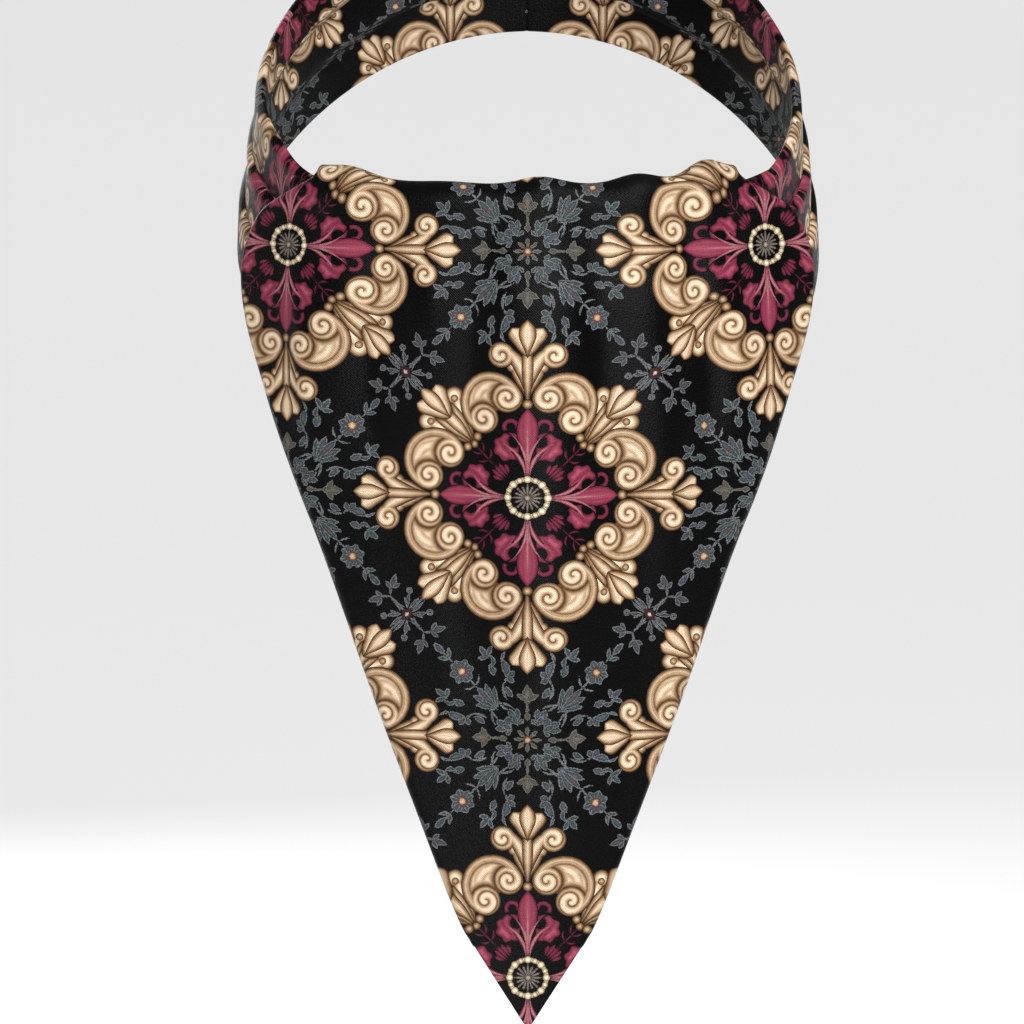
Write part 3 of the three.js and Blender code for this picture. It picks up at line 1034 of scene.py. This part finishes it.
# from the ground up: motif, ink, how far it reaches past its edge in mm, and how worn it looks; the
# fully worn inks are tinted too
layers = [
    (greySprays, "spray", 0.08, 1),
    (brownBuds, "bud", 0.08, 1),
    (amberHearts, "amber", 0.08, 1),
    (greySprigs, "sprig", 0.06, 0.7),
    (sprigHearts, "sprigHeart", 0.06, 0.7),
    (burgundyLeaves, "burgundy", 0.06, 0.3),
    (burgundyLights, "burgundyLight", 0.1, 0.3),
    (goldScrolls, "gold", 0.28, 0),
    (rosette, "spoke", 0.08, 0.3),
    (pearlRing, "pearl", 0.18, 0),
]
silk = {
    "ground": (0.0009, 0.0009, 0.001),
    "roughness": 0.37,
    "roughnessChange": 0.2,
    "specular": 0.09,
    "sheen": 0.01,
    "sheenRoughness": 0.4,
    "twillPitch": 0.6,               # mm between the twill's ribs
    "grainSize": 0.45,               # mm, slubs in the yarn
    "weaveBump": 0.00005,            # m
    "ribHeight": 0.5,                # shares of the bump
    "grainHeight": 3,
    "inkEdge": 0.15,                 # mm over which an ink begins
    "brushSize": 1.5,                # mm, changes of tone within the ink
    "brushDepth": 0.35,
    "wearSize": 0.5,                 # mm, specks in worn inks
    "wearDepth": 0.9,
    "tintSize": 5,                   # mm, patches of greener ink
    "tint": [(0.42, (1, 1, 1)), (0.58, (0.9, 0.98, 0.89))],
    "ribTone": 0.05,                 # mm of ink depth, ribs showing through the print
}


def printOn(colour, depth, brush, ink, edge, tint):
    low = ink[0][0]
    high = ink[-1][0]
    stops = [((at - low) / (high - low), tone) for at, tone in ink]
    tone = Shade.node("ValToRGB", {"stops": stops}, {"Fac": (depth + brush).between(low, high)})
    if tint:
        dye = {"data_type": "RGBA", "blend_type": "MULTIPLY"}
        tone = Shade.node("Mix", dye, {0: 1, 6: tone, 7: tint}, 2)
    mask = depth.between(-edge, silk["inkEdge"] - edge)
    return Shade.node("Mix", {"data_type": "RGBA"}, {0: mask, 6: colour, 7: tone}, 2)


def silkMaterial():
    material = bpy.data.materials.new("printedSilk")
    material.use_nodes = True
    Shade.tree = material.node_tree
    nodes = material.node_tree.nodes
    shader = nodes["Principled BSDF"]
    cloth = Shade.node("UVMap", {"uv_map": "silkPrint"})
    u = Shade.node("SeparateXYZ", inputs={0: cloth}, output="X")
    v = Shade.node("SeparateXYZ", inputs={0: cloth}, output="Y")
    ribs = ((u + v) * (2 * math.pi / silk["twillPitch"])).sine()
    brush = Shade.node("TexNoise", inputs={"Vector": cloth, "Scale": 1 / silk["brushSize"], "Detail": 3})
    brush = (brush - 0.5) * silk["brushDepth"] + ribs * silk["ribTone"]
    wear = Shade.node("TexNoise", inputs={"Vector": cloth, "Scale": 1 / silk["wearSize"], "Detail": 2})
    wear = (wear - 0.5) * silk["wearDepth"]
    patches = Shade.node("TexNoise", inputs={"Vector": cloth, "Scale": 1 / silk["tintSize"], "Detail": 1})
    greener = Shade.node("ValToRGB", {"stops": silk["tint"]}, {"Fac": patches})
    x, y = foldRepeat(u, v)
    colour = (*silk["ground"], 1)
    for motif, ink, edge, worn in layers:
        depth = motif(x, y) + wear * worn if worn else motif(x, y)
        tint = greener if worn == 1 else None
        colour = printOn(colour, depth, brush, inks[ink], edge, tint)
    grain = Shade.node("TexNoise", inputs={"Vector": cloth, "Scale": 1 / silk["grainSize"], "Detail": 2})
    weave = ribs * silk["ribHeight"] + grain * silk["grainHeight"]
    bump = Shade.node("Bump", inputs={"Height": weave, "Strength": 1, "Distance": silk["weaveBump"]})
    roughness = grain.times(silk["roughnessChange"], silk["roughness"] - silk["roughnessChange"] / 2)
    material.node_tree.links.new(colour.socket, shader.inputs["Base Color"])
    material.node_tree.links.new(roughness.socket, shader.inputs["Roughness"])
    material.node_tree.links.new(bump.socket, shader.inputs["Normal"])
    shader.inputs["Specular IOR Level"].default_value = silk["specular"]
    shader.inputs["Sheen Weight"].default_value = silk["sheen"]
    shader.inputs["Sheen Roughness"].default_value = silk["sheenRoughness"]
    print("silk printed with", len(nodes), "nodes")
    return material


printedSilk = silkMaterial()
for piece in (bandLeft, bandRight, bandAcross, frontDrape, underTail):
    piece.data.materials.append(printedSilk)


bpy.context.view_layer.update()
